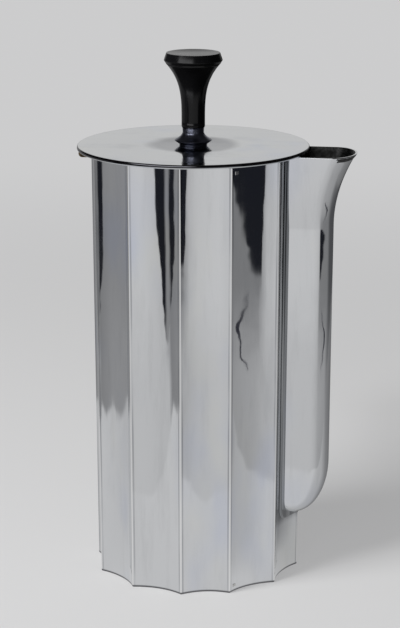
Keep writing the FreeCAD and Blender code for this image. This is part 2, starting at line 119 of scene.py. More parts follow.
def lathe(profile, centre=(0, 0, 0), segments=160, along="Z"):
    """Points and faces of a closed turned solid; a profile that starts and ends on the axis is capped."""
    capped = profile[0][0] == 0
    ring = profile[1:-1] if capped else profile
    angles = [2 * pi * i / segments for i in range(segments)]
    points = [(r * cos(a), r * sin(a), z) for r, z in ring for a in angles]
    faces = grid_faces(len(ring), segments, not capped, True)
    if capped:
        last = (len(ring) - 1) * segments
        points += [(0, 0, profile[0][1]), (0, 0, profile[-1][1])]
        for j in range(segments):
            k = (j + 1) % segments
            faces.append((len(points) - 2, k, j))
            faces.append((len(points) - 1, last + j, last + k))
    if along == "Y":
        points = [(x, z, -y) for x, y, z in points]
    shifted = [tuple(np.add(p, centre)) for p in points]
    return shifted, faces


def rounded(corners, steps=6):
    """Outline of (r, z, fillet radius) corners with each fillet as an arc."""
    outline = []
    for i, (r, z, fillet) in enumerate(corners):
        if not fillet or i in (0, len(corners) - 1):
            outline.append((r, z))
            continue
        here = np.array((r, z))
        before = np.array(corners[i - 1][:2]) - here
        after = np.array(corners[i + 1][:2]) - here
        a, b = before / np.linalg.norm(before), after / np.linalg.norm(after)
        half = 0.5 * np.arccos(np.clip(a @ b, -1, 1))
        reach = min(fillet / tan(half), 0.48 * np.linalg.norm(before), 0.48 * np.linalg.norm(after))
        radius = reach * tan(half)
        middle = here + (a + b) / np.linalg.norm(a + b) * radius / sin(half)
        start, end = here + a * reach - middle, here + b * reach - middle
        turn = np.arccos(np.clip(start @ end / radius ** 2, -1, 1))
        for k in range(steps + 1):
            t = k / steps
            arm = (sin((1 - t) * turn) * start + sin(t * turn) * end) / sin(turn)
            outline.append(tuple(middle + arm))
    return outline


def trumpet(r0, r1, z0, z1, power=3.0, steps=28):
    """Corners of a stem that opens ever faster, with no fillets."""
    return [(r0 + (r1 - r0) * (i / steps) ** power, z0 + (z1 - z0) * i / steps, 0) for i in range(steps + 1)]


# ---- material helpers ---------------------------------------------------------------------
# tones put on the plating: darker plating beside the spout, painted highlights and painted dark reflection
# lines at the ridges, a painted contact shadow at the foot and painted dark reflections on the lid
SPOUT_SIDE_DARK = ((0.05, 0.055, 0.065, 1), (0.17, 0.18, 0.19, 1))
SPOUT_SIDE_LIGHT = ((0.22, 0.23, 0.24, 1), (0.42, 0.43, 0.44, 1))
RIDGE_DARK_REFLECTION = (0.34, 0.35, 0.37, 1)
RIDGE_HIGHLIGHT = (0.97, 0.97, 0.97, 1)
FOOT_SHADOW = (0.16, 0.16, 0.17, 1)
LID_DARK_REFLECTION = (0.32, 0.33, 0.35, 1)
LID_EDGE_REFLECTION = (0.10, 0.10, 0.11, 1)
# radii in metres over which the lid's painted dark reflection fades, and how unevenly
REFLECTION_FADE, REFLECTION_UNEVEN = (0.0225, 0.0165), 0.006


class Nodes:
    """Short way to add and link shader nodes in one tree."""

    def __init__(self, tree):
        self.tree = tree
        tree.nodes.clear()

    def add(self, kind, inputs=None, **settings):
        node = self.tree.nodes.new(kind)
        for key, value in settings.items():
            setattr(node, key, value)
        for key, value in (inputs or {}).items():
            if isinstance(value, bpy.types.NodeSocket):
                self.tree.links.new(value, node.inputs[key])
            else:
                node.inputs[key].default_value = value
        return node

    def math(self, operation, a, b=0.0, c=0.0, clamp=False):
        node = self.add("ShaderNodeMath", {0: a, 1: b, 2: c}, operation=operation, use_clamp=clamp)
        return node.outputs[0]

    def smooth(self, value, low, high):
        """0 at low to 1 at high; low may be the greater."""
        node = self.add("ShaderNodeMapRange", {"Value": value, "From Min": low, "From Max": high},
                        interpolation_type="SMOOTHSTEP")
        return node.outputs["Result"]

    def ramp(self, value, stops):
        """Tone from (place, tone) stops, in straight steps between them."""
        node = self.add("ShaderNodeValToRGB", {"Fac": value})
        node.color_ramp.interpolation = "LINEAR"
        elements = node.color_ramp.elements
        while len(elements) < len(stops):
            elements.new(0.5)
        for element, (place, tone) in zip(elements, stops):
            element.position = place
            element.color = (tone, tone, tone, 1)
        return node.outputs["Color"]

    def noise(self, vector, scale, detail=2.0, roughness=0.5):
        settings = {"Vector": vector, "Scale": scale, "Detail": detail, "Roughness": roughness}
        return self.add("ShaderNodeTexNoise", settings).outputs["Fac"]

    def stretched(self, scale):
        """The pot's own coordinates, scaled along each axis."""
        coordinates = self.add("ShaderNodeTexCoord").outputs["Object"]
        return self.add("ShaderNodeMapping", {"Vector": coordinates, "Scale": scale}).outputs["Vector"]

    def height(self):
        """Height above the table in metres."""
        place = self.add("ShaderNodeTexCoord").outputs["Object"]
        return self.add("ShaderNodeSeparateXYZ", {"Vector": place}).outputs["Z"]

    def scaled(self, value, factor):
        return self.math("MULTIPLY", value, factor)

    def mix(self, factor, a, b):
        node = self.add("ShaderNodeMix", data_type="RGBA")
        for key, value in ((0, factor), (6, a), (7, b)):
            if isinstance(value, bpy.types.NodeSocket):
                self.tree.links.new(value, node.inputs[key])
            else:
                node.inputs[key].default_value = value
        return node.outputs[2]


def new_material(name):
    material = bpy.data.materials.new(name)
    material.use_nodes = True
    return material, Nodes(material.node_tree)


def tinted(tint, red, green, blue):
    """The plating's tint with each channel scaled."""
    return (red * tint[0], green * tint[1], blue * tint[2], 1)


def chrome(name, tint=(0.82, 0.83, 0.845), haze=0.04, smudge=0.07, brush=0.5, brush_axis=2, ripple=0.0002,
           streak=0.45, shading=None):
    """Polished plate: faint polishing lines, soft smudges and a slight ripple in the surface."""
    material, n = new_material(name)
    lengthwise = [1.0, 1.0, 1.0]
    lengthwise[brush_axis] = 0.03
    lines = n.noise(n.stretched(tuple(lengthwise)), 900.0, 3.0, 0.6)
    lengthwise[brush_axis] = 0.12
    streaks = n.noise(n.stretched(tuple(lengthwise)), 240.0, 4.0, 0.65)
    smears = n.noise(n.stretched((1, 1, 0.35)), 55.0, 4.0, 0.62)
    clouds = n.noise(n.stretched((1, 1, 1)), 45.0, 2.0, 0.45)
    bloom = n.smooth(n.noise(n.stretched((1, 1, 0.5)), 28.0, 2.0, 0.5), 0.50, 0.72)
    marks = n.smooth(smears, 0.48, 0.78)
    scuffs = n.smooth(streaks, 0.45, 0.75)
    colour = n.mix(n.scaled(marks, 0.5), (*tint, 1), tinted(tint, 0.86, 0.87, 0.90))
    colour = n.mix(n.scaled(scuffs, streak), colour, tinted(tint, 0.84, 0.84, 0.84))
    colour = n.mix(n.scaled(bloom, 0.7), colour, tinted(tint, 0.85, 0.89, 1.03))
    warm = n.smooth(n.noise(n.stretched((1, 1, 0.4)), 37.0, 3.0, 0.6), 0.52, 0.74)
    colour = n.mix(n.scaled(warm, 0.5), colour, tinted(tint, 1.06, 1.05, 0.98))
    if shading:
        colour = shading(n, colour)
    rough = n.math("MULTIPLY_ADD", marks, smudge, haze)
    rough = n.math("MULTIPLY_ADD", scuffs, 0.04, rough)
    rough = n.math("MULTIPLY_ADD", n.math("SUBTRACT", lines, 0.5), 0.03, rough, clamp=True)
    waves = n.add("ShaderNodeBump", {"Strength": 1.0, "Distance": ripple, "Height": clouds})
    fine = n.add("ShaderNodeBump", {"Strength": brush, "Distance": 0.000015, "Height": lines,
                                    "Normal": waves.outputs["Normal"]})
    shader = n.add("ShaderNodeBsdfPrincipled", {
        "Base Color": colour, "Metallic": 1.0, "Roughness": rough, "Normal": fine.outputs["Normal"]})
    n.add("ShaderNodeOutputMaterial", {"Surface": shader.outputs["BSDF"]})
    return material


def spout_side_tone(n, height):
    """Darkened plating beside the spout, with drawn-down streaks that get lighter towards the foot."""
    streaks = n.smooth(n.noise(n.stretched((1, 1, 0.02)), 700.0, 3.0, 0.6), 0.38, 0.66)
    dark = n.mix(streaks, *SPOUT_SIDE_DARK)
    light = n.mix(streaks, *SPOUT_SIDE_LIGHT)
    return n.mix(n.smooth(height, 0.06, 0.15), light, dark)


def seam_shading(n, colour):
    """Darkened plating over the whole soldered strip."""
    return n.mix(0.9, colour, spout_side_tone(n, n.height()))


def ridge_shading(n, colour):
    """Painted highlights on the ridges with a painted dark reflection line beside each, darker plating
    beside the spout and a painted contact shadow along the foot.

    The mesh's "ridge" is the distance from the nearest ridge in mm; "seam" is 1 beside the spout.
    """
    away = n.add("ShaderNodeAttribute", attribute_name="ridge").outputs["Fac"]
    # a painted dark reflection line beside each ridge, broken up by noise
    ridge_dark_line = n.math("MULTIPLY", n.smooth(away, 0.40, 0.60), n.smooth(away, 1.15, 0.75))
    broken = n.smooth(n.noise(n.stretched((1, 1, 0.08)), 260.0, 3.0, 0.6), 0.30, 0.62)
    colour = n.mix(n.math("MULTIPLY", ridge_dark_line, n.scaled(broken, 0.7)), colour, RIDGE_DARK_REFLECTION)
    # painted highlight along each ridge
    colour = n.mix(n.smooth(away, 0.38, 0.24), colour, RIDGE_HIGHLIGHT)
    seam = n.add("ShaderNodeAttribute", attribute_name="seam").outputs["Fac"]
    height = n.height()
    # darker plating beside the spout, from a little above the foot up to the rim
    colour = n.mix(n.math("MULTIPLY", seam, n.smooth(height, 0.019, 0.024)), colour, spout_side_tone(n, height))
    # painted contact shadow along the foot
    return n.mix(n.smooth(height, 0.0011, 0.0005), colour, FOOT_SHADOW)


def lid_shading(n, colour):
    """A painted dark reflection round the middle of the lid and a painted dark reflection along its upper
    edge.
    """
    place = n.add("ShaderNodeTexCoord").outputs["Object"]
    offset = n.add("ShaderNodeVectorMath", {0: place, 1: (KNOB_X, 0, 0)}, operation="SUBTRACT").outputs[0]
    level = n.add("ShaderNodeVectorMath", {0: offset, 1: (1, 1, 0)}, operation="MULTIPLY").outputs[0]
    radius = n.add("ShaderNodeVectorMath", {0: level}, operation="LENGTH").outputs["Value"]
    # painted dark reflection round the middle of the lid
    uneven = n.math("MULTIPLY_ADD", n.noise(place, 60.0, 2.0, 0.5), REFLECTION_UNEVEN, radius)
    colour = n.mix(n.scaled(n.smooth(uneven, *REFLECTION_FADE), 0.95), colour, LID_DARK_REFLECTION)
    # painted dark reflection along the lid's upper edge
    outer = n.smooth(radius, LID_RADIUS - 0.4 * MM, LID_RADIUS - 0.25 * MM)
    upper = n.smooth(n.height(), LID_UNDER + 0.35 * MM, LID_UNDER + 0.5 * MM)
    edge = n.math("MULTIPLY", outer, upper)
    return n.mix(edge, colour, LID_EDGE_REFLECTION)


def black_plastic(name):
    """Turned and polished black phenolic with fine lathe lines and greyer, dusty patches at random."""
    material, n = new_material(name)
    lines = n.noise(n.stretched((0.06, 0.06, 1)), 1600.0, 2.0, 0.6)
    wear = n.noise(n.stretched((1, 1, 1)), 160.0, 5.0, 0.6)
    dust = n.smooth(wear, 0.55, 0.8)
    colour = n.mix(n.math("MULTIPLY", dust, 0.35), (0.004, 0.004, 0.0045, 1), (0.014, 0.014, 0.014, 1))
    rough = n.math("MULTIPLY_ADD", wear, 0.14, 0.10)
    bump = n.add("ShaderNodeBump", {"Strength": 0.15, "Distance": 0.00003, "Height": lines})
    shader = n.add("ShaderNodeBsdfPrincipled", {
        "Base Color": colour, "Roughness": rough, "IOR": 1.42, "Specular IOR Level": 0.32,
        "Normal": bump.outputs["Normal"]})
    n.add("ShaderNodeOutputMaterial", {"Surface": shader.outputs["BSDF"]})
    return material


def tarnished_metal(name, bright, dark, haze):
    """Plain brass or steel with a cloudy, darkened skin."""
    material, n = new_material(name)
    clouds = n.noise(n.stretched((1, 1, 1)), 420.0, 5.0, 0.65)
    colour = n.mix(n.smooth(clouds, 0.35, 0.68), (*dark, 1), (*bright, 1))
    rough = n.math("MULTIPLY_ADD", clouds, 0.3, haze)
    bump = n.add("ShaderNodeBump", {"Strength": 0.3, "Distance": 0.00004, "Height": clouds})
    shader = n.add("ShaderNodeBsdfPrincipled", {
        "Base Color": colour, "Metallic": 1.0, "Roughness": rough, "Normal": bump.outputs["Normal"]})
    n.add("ShaderNodeOutputMaterial", {"Surface": shader.outputs["BSDF"]})
    return material


BODY_CHROME = chrome("body_chrome")
WALL_CHROME = chrome("wall_chrome", shading=ridge_shading)
LID_CHROME = chrome("lid_chrome", tint=(0.73, 0.745, 0.755), haze=0.08, smudge=0.05, brush=0.1,
                    brush_axis=0, streak=0.12, shading=lid_shading)
TRIM_CHROME = chrome("trim_chrome", haze=0.05, smudge=0.06, brush=0.1)
# a dark, bluish copy of the chrome for the knob's collar: painted shade for the dark room that it mirrors
SHADED_COLLAR_CHROME = chrome("shaded_collar_chrome", tint=(0.20, 0.21, 0.26), haze=0.30, smudge=0.05,
                       brush=0.0, streak=0.0)
SEAM_CHROME = chrome("seam_chrome", haze=0.12, shading=seam_shading)
INNER_CHROME = chrome("inner_chrome", tint=(0.62, 0.62, 0.61), haze=0.22, smudge=0.25)
BLACK = black_plastic("black_phenolic")
# dark skin for the spout's inside, also used as painted shade on the band under the rolled lip
DARK_LINING_AND_LIP_SHADE = tarnished_metal("dark_lining_and_lip_shade", (0.10, 0.10, 0.10), (0.03, 0.03, 0.03), 0.35)
HINGE_BRASS = tarnished_metal("hinge_brass", (0.26, 0.18, 0.09), (0.05, 0.035, 0.02), 0.3)
FIXING_BRASS = tarnished_metal("fixing_brass", (0.72, 0.55, 0.27), (0.45, 0.31, 0.14), 0.2)
FIXING_STEEL = tarnished_metal("fixing_steel", (0.58, 0.58, 0.59), (0.36, 0.35, 0.34), 0.22)


# ---- fluted body --------------------------------------------------------------------------
# how far each ridge strays from its even place, in degrees, counted from the spout side
RIDGE_DRIFT = (0.0, 0.4, 0.0, -0.5, 0.3, 0.0, -0.4, -0.4, 0.9, 0.4, -2.6, -2.3)
RIDGE_SPAN = 0.014  # radians to each side of a ridge with closer points
SLOW_RIPPLE, SLOW_WAVE = 0.045 * MM, 23 * MM
QUICK_RIPPLE, QUICK_WAVE = 0.015 * MM, 9 * MM
RIPPLE_FADE = 8  # the ripple fades out over the top eighth
SUPPORT_GAP = 0.1 * MM
SEAM_END, SEAM_FADE = 0.008, 0.004  # radians


def even_angle(angle):
    """The place on the even twelve-sided section that an angle on the real, uneven one stands for."""
    turn = (angle / (2 * HALF_FLUTE)) % FLUTES
    low = np.floor(turn).astype(int) % FLUTES
    part = turn - np.floor(turn)
    blend = part * part * (3 - 2 * part)
    drift = np.radians(RIDGE_DRIFT)
    return angle - (drift[low] * (1 - blend) + drift[(low + 1) % FLUTES] * blend)


def section_radius(angle, z):
    """Outer radius of the fluted section; vectorised over angle and z."""
    angle = even_angle(angle)
    ridge = RIDGE_BASE + (RIDGE_TOP - RIDGE_BASE) * z / BODY_TOP
    valley = ridge * cos(HALF_FLUTE) - FLUTE_DEPTH
    c = cos(HALF_FLUTE)
    inner = ridge - RIDGE_ROUND
    top = valley * valley - 2 * inner * valley * c + inner * inner - RIDGE_ROUND ** 2
    hollow = top / (2 * (RIDGE_ROUND - valley + inner * c))
    centre = valley + hollow
    from_ridge = (angle + HALF_FLUTE) % (2 * HALF_FLUTE) - HALF_FLUTE
    from_valley = HALF_FLUTE - np.abs(from_ridge)
    hollow_part = centre * np.cos(from_valley) - np.sqrt(hollow ** 2 - (centre * np.sin(from_valley)) ** 2)
    inside = np.maximum(RIDGE_ROUND ** 2 - (inner * np.sin(from_ridge)) ** 2, 0)
    ridge_part = inner * np.cos(from_ridge) + np.sqrt(inside)
    reach = np.sqrt(inner ** 2 + centre ** 2 - 2 * inner * centre * c)
    along = (centre * c - inner) / reach * RIDGE_ROUND
    across = centre * sin(HALF_FLUTE) / reach * RIDGE_ROUND
    tangent = across / (inner + along)
    return np.where(np.abs(from_ridge) < tangent, ridge_part, hollow_part)


def sheet_ripple(angle, z):
    """Slight unevenness of drawn sheet, in two sizes of wave, none at the ridges."""
    turn = even_angle(angle) / (2 * HALF_FLUTE)
    flute = np.floor(turn)
    slow = np.sin(z / SLOW_WAVE + 2.1 * flute) * np.sin(3 * angle + 0.7 * flute)
    quick = np.sin(z / QUICK_WAVE + 5 * angle + flute)
    return (SLOW_RIPPLE * slow + QUICK_RIPPLE * quick) * np.sin(pi * turn) ** 2


def flute_angles():
    """Angles round the body, close together over each ridge."""
    local = []
    ridge_steps, hollow_steps = 8, 30
    for i in range(ridge_steps):
        local.append(-RIDGE_SPAN + 2 * RIDGE_SPAN * i / ridge_steps)
    for i in range(hollow_steps):
        local.append(RIDGE_SPAN + (2 * HALF_FLUTE - 2 * RIDGE_SPAN) * i / hollow_steps)
    angles = []
    for k in range(FLUTES):
        start, end = radians(RIDGE_DRIFT[k]), radians(RIDGE_DRIFT[(k + 1) % FLUTES])
        for a in local:
            part = max(0.0, a / (2 * HALF_FLUTE))
            blend = part * part * (3 - 2 * part)
            angles.append(2 * HALF_FLUTE * k + a + start * (1 - blend) + end * blend)
    return np.array(angles)


def cut_openings(piece):
    """Strainer holes behind the spout and the seat of the hinge bracket, cut out of the wall."""
    points, faces = [], []

    def add_prism(outline, depth):
        start, count = len(points), len(outline)
        points.extend(outline + [tuple(np.add(p, depth)) for p in outline])
        faces.append(tuple(start + i for i in range(count))[::-1])
        faces.append(tuple(start + count + i for i in range(count)))
        for i in range(count):
            k = (i + 1) % count
            faces.append((start + i, start + k, start + count + k, start + count + i))

    for row in range(STRAINER_ROWS):
        for y in STRAINER_COLUMNS:
            z = STRAINER_FOOT + STRAINER_PITCH * row
            ring = [(STRAINER_CUT_X, y + STRAINER_RADIUS * cos(a), z + STRAINER_RADIUS * sin(a))
                    for a in np.linspace(0, 2 * pi, 24, False)]
            add_prism(ring, (STRAINER_CUT_DEPTH, 0, 0))
    above = BODY_TOP + CUT_MARGIN
    seat = [(-SADDLE_HALF, SADDLE_Z), (SADDLE_HALF, SADDLE_Z), (SADDLE_HALF, above), (-SADDLE_HALF, above)]
    add_prism([(HINGE_X, y, z) for y, z in seat], (SADDLE_DEPTH, 0, 0))
    mesh = bpy.data.meshes.new("openings")
    mesh.from_pydata(points, [], faces)
    cutter = bpy.data.objects.new("openings", mesh)
    bpy.context.scene.collection.objects.link(cutter)
    modifier = piece.modifiers.new("openings", "BOOLEAN")
    modifier.operation = "DIFFERENCE"
    modifier.object = cutter
    modifier.solver = "EXACT"
    graph = bpy.context.evaluated_depsgraph_get()
    cut = bpy.data.meshes.new_from_object(piece.evaluated_get(graph), depsgraph=graph)
    piece.modifiers.clear()
    piece.data = cut
    bpy.data.objects.remove(cutter)


def make_body():
    """Sheet wall with rounded rims; a support loop beside each rim keeps the shading clean."""
    angles = flute_angles()
    heights = 90
    rim = 0.5 * WALL
    rim_turns = np.linspace(0.3, pi - 0.3, 6)
    levels = list(np.linspace(rim, BODY_TOP - rim, heights + 1))
    levels[1:1] = [rim + SUPPORT_GAP]
    levels[-1:-1] = [BODY_TOP - rim - SUPPORT_GAP]
    profile = [(0.0, z) for z in levels]
    profile += [(-rim + rim * cos(t), BODY_TOP - rim + rim * sin(t)) for t in rim_turns]
    profile += [(-WALL, z) for z in levels[::-1]]
    profile += [(-rim - rim * cos(t), rim - rim * sin(t)) for t in rim_turns]
    points = []
    for offset, z in profile:
        ripple = sheet_ripple(angles, z) * min(1, RIPPLE_FADE * (1 - z / BODY_TOP))
        radius = section_radius(angles, z) + ripple + offset
        points += list(zip(radius * np.cos(angles), radius * np.sin(angles), np.full(len(angles), z)))
    faces = grid_faces(len(profile), len(angles), True, True)
    piece = add_piece("pot_wall", points, faces, "pot", WALL_CHROME, ["body_shell"])
    even = (even_angle(angles) + HALF_FLUTE) % (2 * HALF_FLUTE) - HALF_FLUTE
    away = np.tile(np.abs(even) * RIDGE_TOP / MM, len(profile))
    piece.data.attributes.new("ridge", "FLOAT", "POINT").data.foreach_set("value", away.astype(np.float32))
    turned = np.abs((even_angle(angles) + pi) % (2 * pi) - pi)
    seam = np.tile(np.clip((2 * HALF_FLUTE - SEAM_END - turned) / SEAM_FADE, 0, 1), len(profile))
    piece.data.attributes.new("seam", "FLOAT", "POINT").data.foreach_set("value", seam.astype(np.float32))
    cut_openings(piece)


# ---- spout --------------------------------------------------------------------------------
SPOUT_WALL = 0.8 * MM
SPOUT_FOOT = SPOUT_LOW.z + 1.2 * MM
HULL_TOP = 44 * MM
HULL_ROUND, HULL_POWER = 8 * MM, 2.6
FLARE_Z = 137 * MM
SPOUT_FOOT_REACH, SPOUT_REACH, SPOUT_NECK_REACH = 39 * MM, 51.8 * MM, 52.4 * MM
ROOT_SINK = 0.45 * MM
NOSE_LENGTH, NOSE_GROWTH, NOSE_SHARE = 6.4 * MM, 2.0 * MM, 0.8
LIP_FOOT = BODY_TOP - 1.9 * MM
LIP_ROLL = 0.3 * MM
LIP_START = 54.7 * MM
SPOUT_TIP = SPOUT_HIGH.x - LIP_ROLL
SPOUT_HALF = 9.7 * MM
MOUTH_HALF = 12.2 * MM
FLANGE_HALF, FLANGE_CORNER, FLANGE_THICKNESS = 12.7 * MM, 5.0 * MM, 0.65 * MM
FLANGE_SINK, FLANGE_OVERLAP, FLANGE_TOP_GAP = 0.3 * MM, 0.9 * MM, 0.2 * MM


def flare(z):
    """0 where the mouth starts to open, 1 at the rim."""
    return (z - FLARE_Z) / (BODY_TOP - FLARE_Z)


def spout_reach(z):
    """x of the nose: a quarter ellipse at the foot, nearly straight, then a parabola to the lip."""
    if z < HULL_TOP:
        drop = (HULL_TOP - z) / (HULL_TOP - SPOUT_FOOT)
        return SPOUT_FOOT_REACH + (SPOUT_REACH - SPOUT_FOOT_REACH) * sqrt(max(0.0, 1 - drop * drop))
    if z < FLARE_Z:
        return SPOUT_REACH + (SPOUT_NECK_REACH - SPOUT_REACH) * (z - HULL_TOP) / (FLARE_Z - HULL_TOP)
    return SPOUT_NECK_REACH + (SPOUT_TIP - SPOUT_NECK_REACH) * flare(z) ** 2


def spout_half(z):
    """Half width of the trough: rounded in at the foot, opening towards the lip."""
    if z > FLARE_Z:
        return SPOUT_HALF + (MOUTH_HALF - SPOUT_HALF) * flare(z)
    foot = max(0.0, (SPOUT_FOOT + HULL_ROUND - z) / HULL_ROUND)
    return SPOUT_HALF * max(0.0, 1 - foot ** HULL_POWER) ** (1 / HULL_POWER)


def body_x(y, z):
    """x of the body's outer surface on the spout side at a given y."""
    angle = y / RIDGE_TOP
    for _ in range(12):
        angle = np.arcsin(y / section_radius(angle, z))
    return section_radius(angle, z) * np.cos(angle)


def trough_path(z, inset, steps=44):
    """Half-open U at height z from the +y root round the nose to the -y root."""
    half = max(spout_half(z) - inset, 0.05 * MM)
    reach = spout_reach(z) - inset
    root = body_x(np.array(half), z) - ROOT_SINK
    reach = max(reach, root + 0.1 * MM)
    nose = min(NOSE_LENGTH + NOSE_GROWTH * max(0.0, flare(z)) ** 1.5, NOSE_SHARE * (reach - root))
    turn = reach - nose
    side = 10
    path = [(root + (turn - root) * i / side, half) for i in range(side)]
    for i in range(steps + 1):
        angle = pi / 2 - pi * i / steps
        path.append((turn + nose * cos(angle), half * sin(angle)))
    path += [(turn - (turn - root) * (i + 1) / side, -half) for i in range(side)]
    return path


def make_spout():
    """Trough with a rolled lip; its inside is dark, and the band under the lip is dark as painted shade."""
    rows = []
    rim = 0.5 * SPOUT_WALL
    foot_steps, straight_steps, flare_steps, lip_steps = 26, 40, 36, 8
    heights = [SPOUT_FOOT + (HULL_TOP - SPOUT_FOOT) * (1 - cos(0.5 * pi * (i + 0.3) / foot_steps))
               for i in range(foot_steps)]
    heights += [HULL_TOP + (FLARE_Z - HULL_TOP) * i / straight_steps for i in range(straight_steps)]
    heights += [FLARE_Z + (LIP_FOOT - FLARE_Z) * i / flare_steps for i in range(flare_steps)]
    heights += [LIP_FOOT + (BODY_TOP - rim - LIP_FOOT) * i / lip_steps for i in range(lip_steps + 1)]
    levels = [(z, 0.0, SPOUT_WALL) for z in heights]
    for t in np.linspace(0.3, pi / 2 - 0.2, 4):
        levels.append((BODY_TOP - rim + rim * sin(t), rim * (1 - cos(t)), rim * (1 + cos(t))))
    for z, outer, inner in levels:
        outside = trough_path(min(z, BODY_TOP), outer)
        if z > LIP_FOOT:
            roll = LIP_ROLL * sin(0.5 * pi * min(1.0, (z - LIP_FOOT) / (0.6 * (BODY_TOP - LIP_FOOT))))
            rolled = trough_path(min(z, BODY_TOP), outer - roll)
            outside = [far if near[0] > LIP_START else near for near, far in zip(outside, rolled)]
        inside = trough_path(min(z, BODY_TOP), inner)
        rows.append([(x, y, z) for x, y in outside + inside[::-1]])
    columns = len(rows[0])
    points = [p for row in rows for p in row]
    faces = grid_faces(len(rows), columns, False, True)
    half = columns // 2
    last = (len(rows) - 1) * columns
    for j in range(half - 1):
        faces.append((last + j, last + j + 1, last + columns - 2 - j, last + columns - 1 - j))
        faces.append((j + 1, j, columns - 1 - j, columns - 2 - j))
    inner = [k for k in range(last) if k % columns >= half - 1]
    # the band under the rolled lip takes the dark lining as painted shade
    band_low, band_high = LIP_FOOT - 0.1 * MM, BODY_TOP - 0.5 * MM
    banded = [k for k in range(last) if k % columns < half - 1 and points[k][0] > LIP_START
              and band_low < points[k][2] < band_high]
    add_piece("spout_trough", points, faces, "pot", BODY_CHROME, ["spout"],
              DARK_LINING_AND_LIP_SHADE, inner + banded)


def u_outline(half, foot, corner, top):
    """(y, z) points of a U from the top of one side, round the foot, to the top of the other."""
    side, arc, bottom = 70, 14, 10
    points = [(half, top + (foot + corner - top) * i / side) for i in range(side)]
    for i in range(arc):
        a = 0.5 * pi * i / arc
        points.append((half - corner + corner * cos(a), foot + corner - corner * sin(a)))
    points += [((half - corner) * (1 - i / bottom), foot) for i in range(bottom)]
    return points + [(-y, z) for y, z in points[::-1]]


def make_flange():
    """Strip round the trough that is soldered down onto the flutes."""
    top = BODY_TOP - FLANGE_TOP_GAP
    inner = u_outline(SPOUT_HALF - FLANGE_OVERLAP, SPOUT_FOOT + 1.5 * MM, FLANGE_CORNER + 1.0 * MM, top)
    outer = u_outline(FLANGE_HALF, SPOUT_LOW.z + 0.1 * MM, FLANGE_CORNER, top)
    thick, edge = FLANGE_THICKNESS, 0.15
    across = [(0.0, -FLANGE_SINK), (0.0, thick)]
    across += [(edge + (1 - 2 * edge) * i / 8, thick) for i in range(9)]
    across += [(1 - edge + edge * sin(a), thick * cos(a)) for a in np.linspace(0.25, pi / 2, 7)]
    across += [(1.0, -FLANGE_SINK)]
    points = []
    for (y0, z0), (y1, z1) in zip(inner, outer):
        for t, lift in across:
            y, z = y0 + (y1 - y0) * t, z0 + (z1 - z0) * t
            points.append((float(body_x(np.array(y), z)) + lift, y, z))
    columns = len(across)
    rows = len(inner)
    faces = [f[::-1] for f in grid_faces(rows, columns, False, True)]
    faces.append(tuple(range(columns)))
    faces.append(tuple(range((rows - 1) * columns, rows * columns))[::-1])
    add_piece("spout_flange", points, faces, "pot", SEAM_CHROME)


# ---- lid, knob, handle --------------------------------------------------------------------
LID_DISH_RADIUS, LID_DISH_FLOOR, LID_DISH = 20 * MM, 6 * MM, 0.3 * MM
LID_EDGE_TOP, LID_EDGE_LOW = 0.95 * MM, 0.55 * MM
LID_ROUND_TOP, LID_ROUND_LOW = 0.45 * MM, 0.5 * MM
STEM_RADIUS = 4.45 * MM
GRIP_START, STUD_HOLE, RECESS_RADIUS, RECESS_DEPTH = 8.2 * MM, 2.5 * MM, 6.2 * MM, 6 * MM


def make_lid():
    """Disc with an oval edge and a shallow dish, flat in the middle, under the knob."""
    profile = [(0.0, LID_UNDER)]
    profile += [(LID_RADIUS * t, LID_UNDER) for t in (0.3, 0.6, 0.9)]
    for a in np.linspace(-pi / 2, 0, 9):
        r = LID_RADIUS - LID_ROUND_LOW * (1 - cos(a))
        profile.append((r, LID_UNDER + LID_EDGE_LOW * (1 + sin(a))))
    for a in np.linspace(0.1, pi / 2, 12):
        r = LID_RADIUS - LID_ROUND_TOP * (1 - cos(a))
        profile.append((r, LID_TOP - LID_EDGE_TOP * (1 - sin(a))))
    rings = 60
    for i in range(1, rings):
        r = (LID_RADIUS - LID_ROUND_TOP) * (1 - i / rings)
        climb = (r - LID_DISH_FLOOR) / (LID_DISH_RADIUS - LID_DISH_FLOOR)
        sink = 0.5 * (1 + cos(pi * min(1.0, max(0.0, climb))))
        profile.append((r, LID_TOP - LID_DISH * sink))
    profile.append((0.0, LID_TOP - LID_DISH))
    points, faces = lathe(profile, (LID_X, 0, 0), 256)
    add_piece("lid_plate", points, faces, "lid", LID_CHROME, ["lid_disc"])


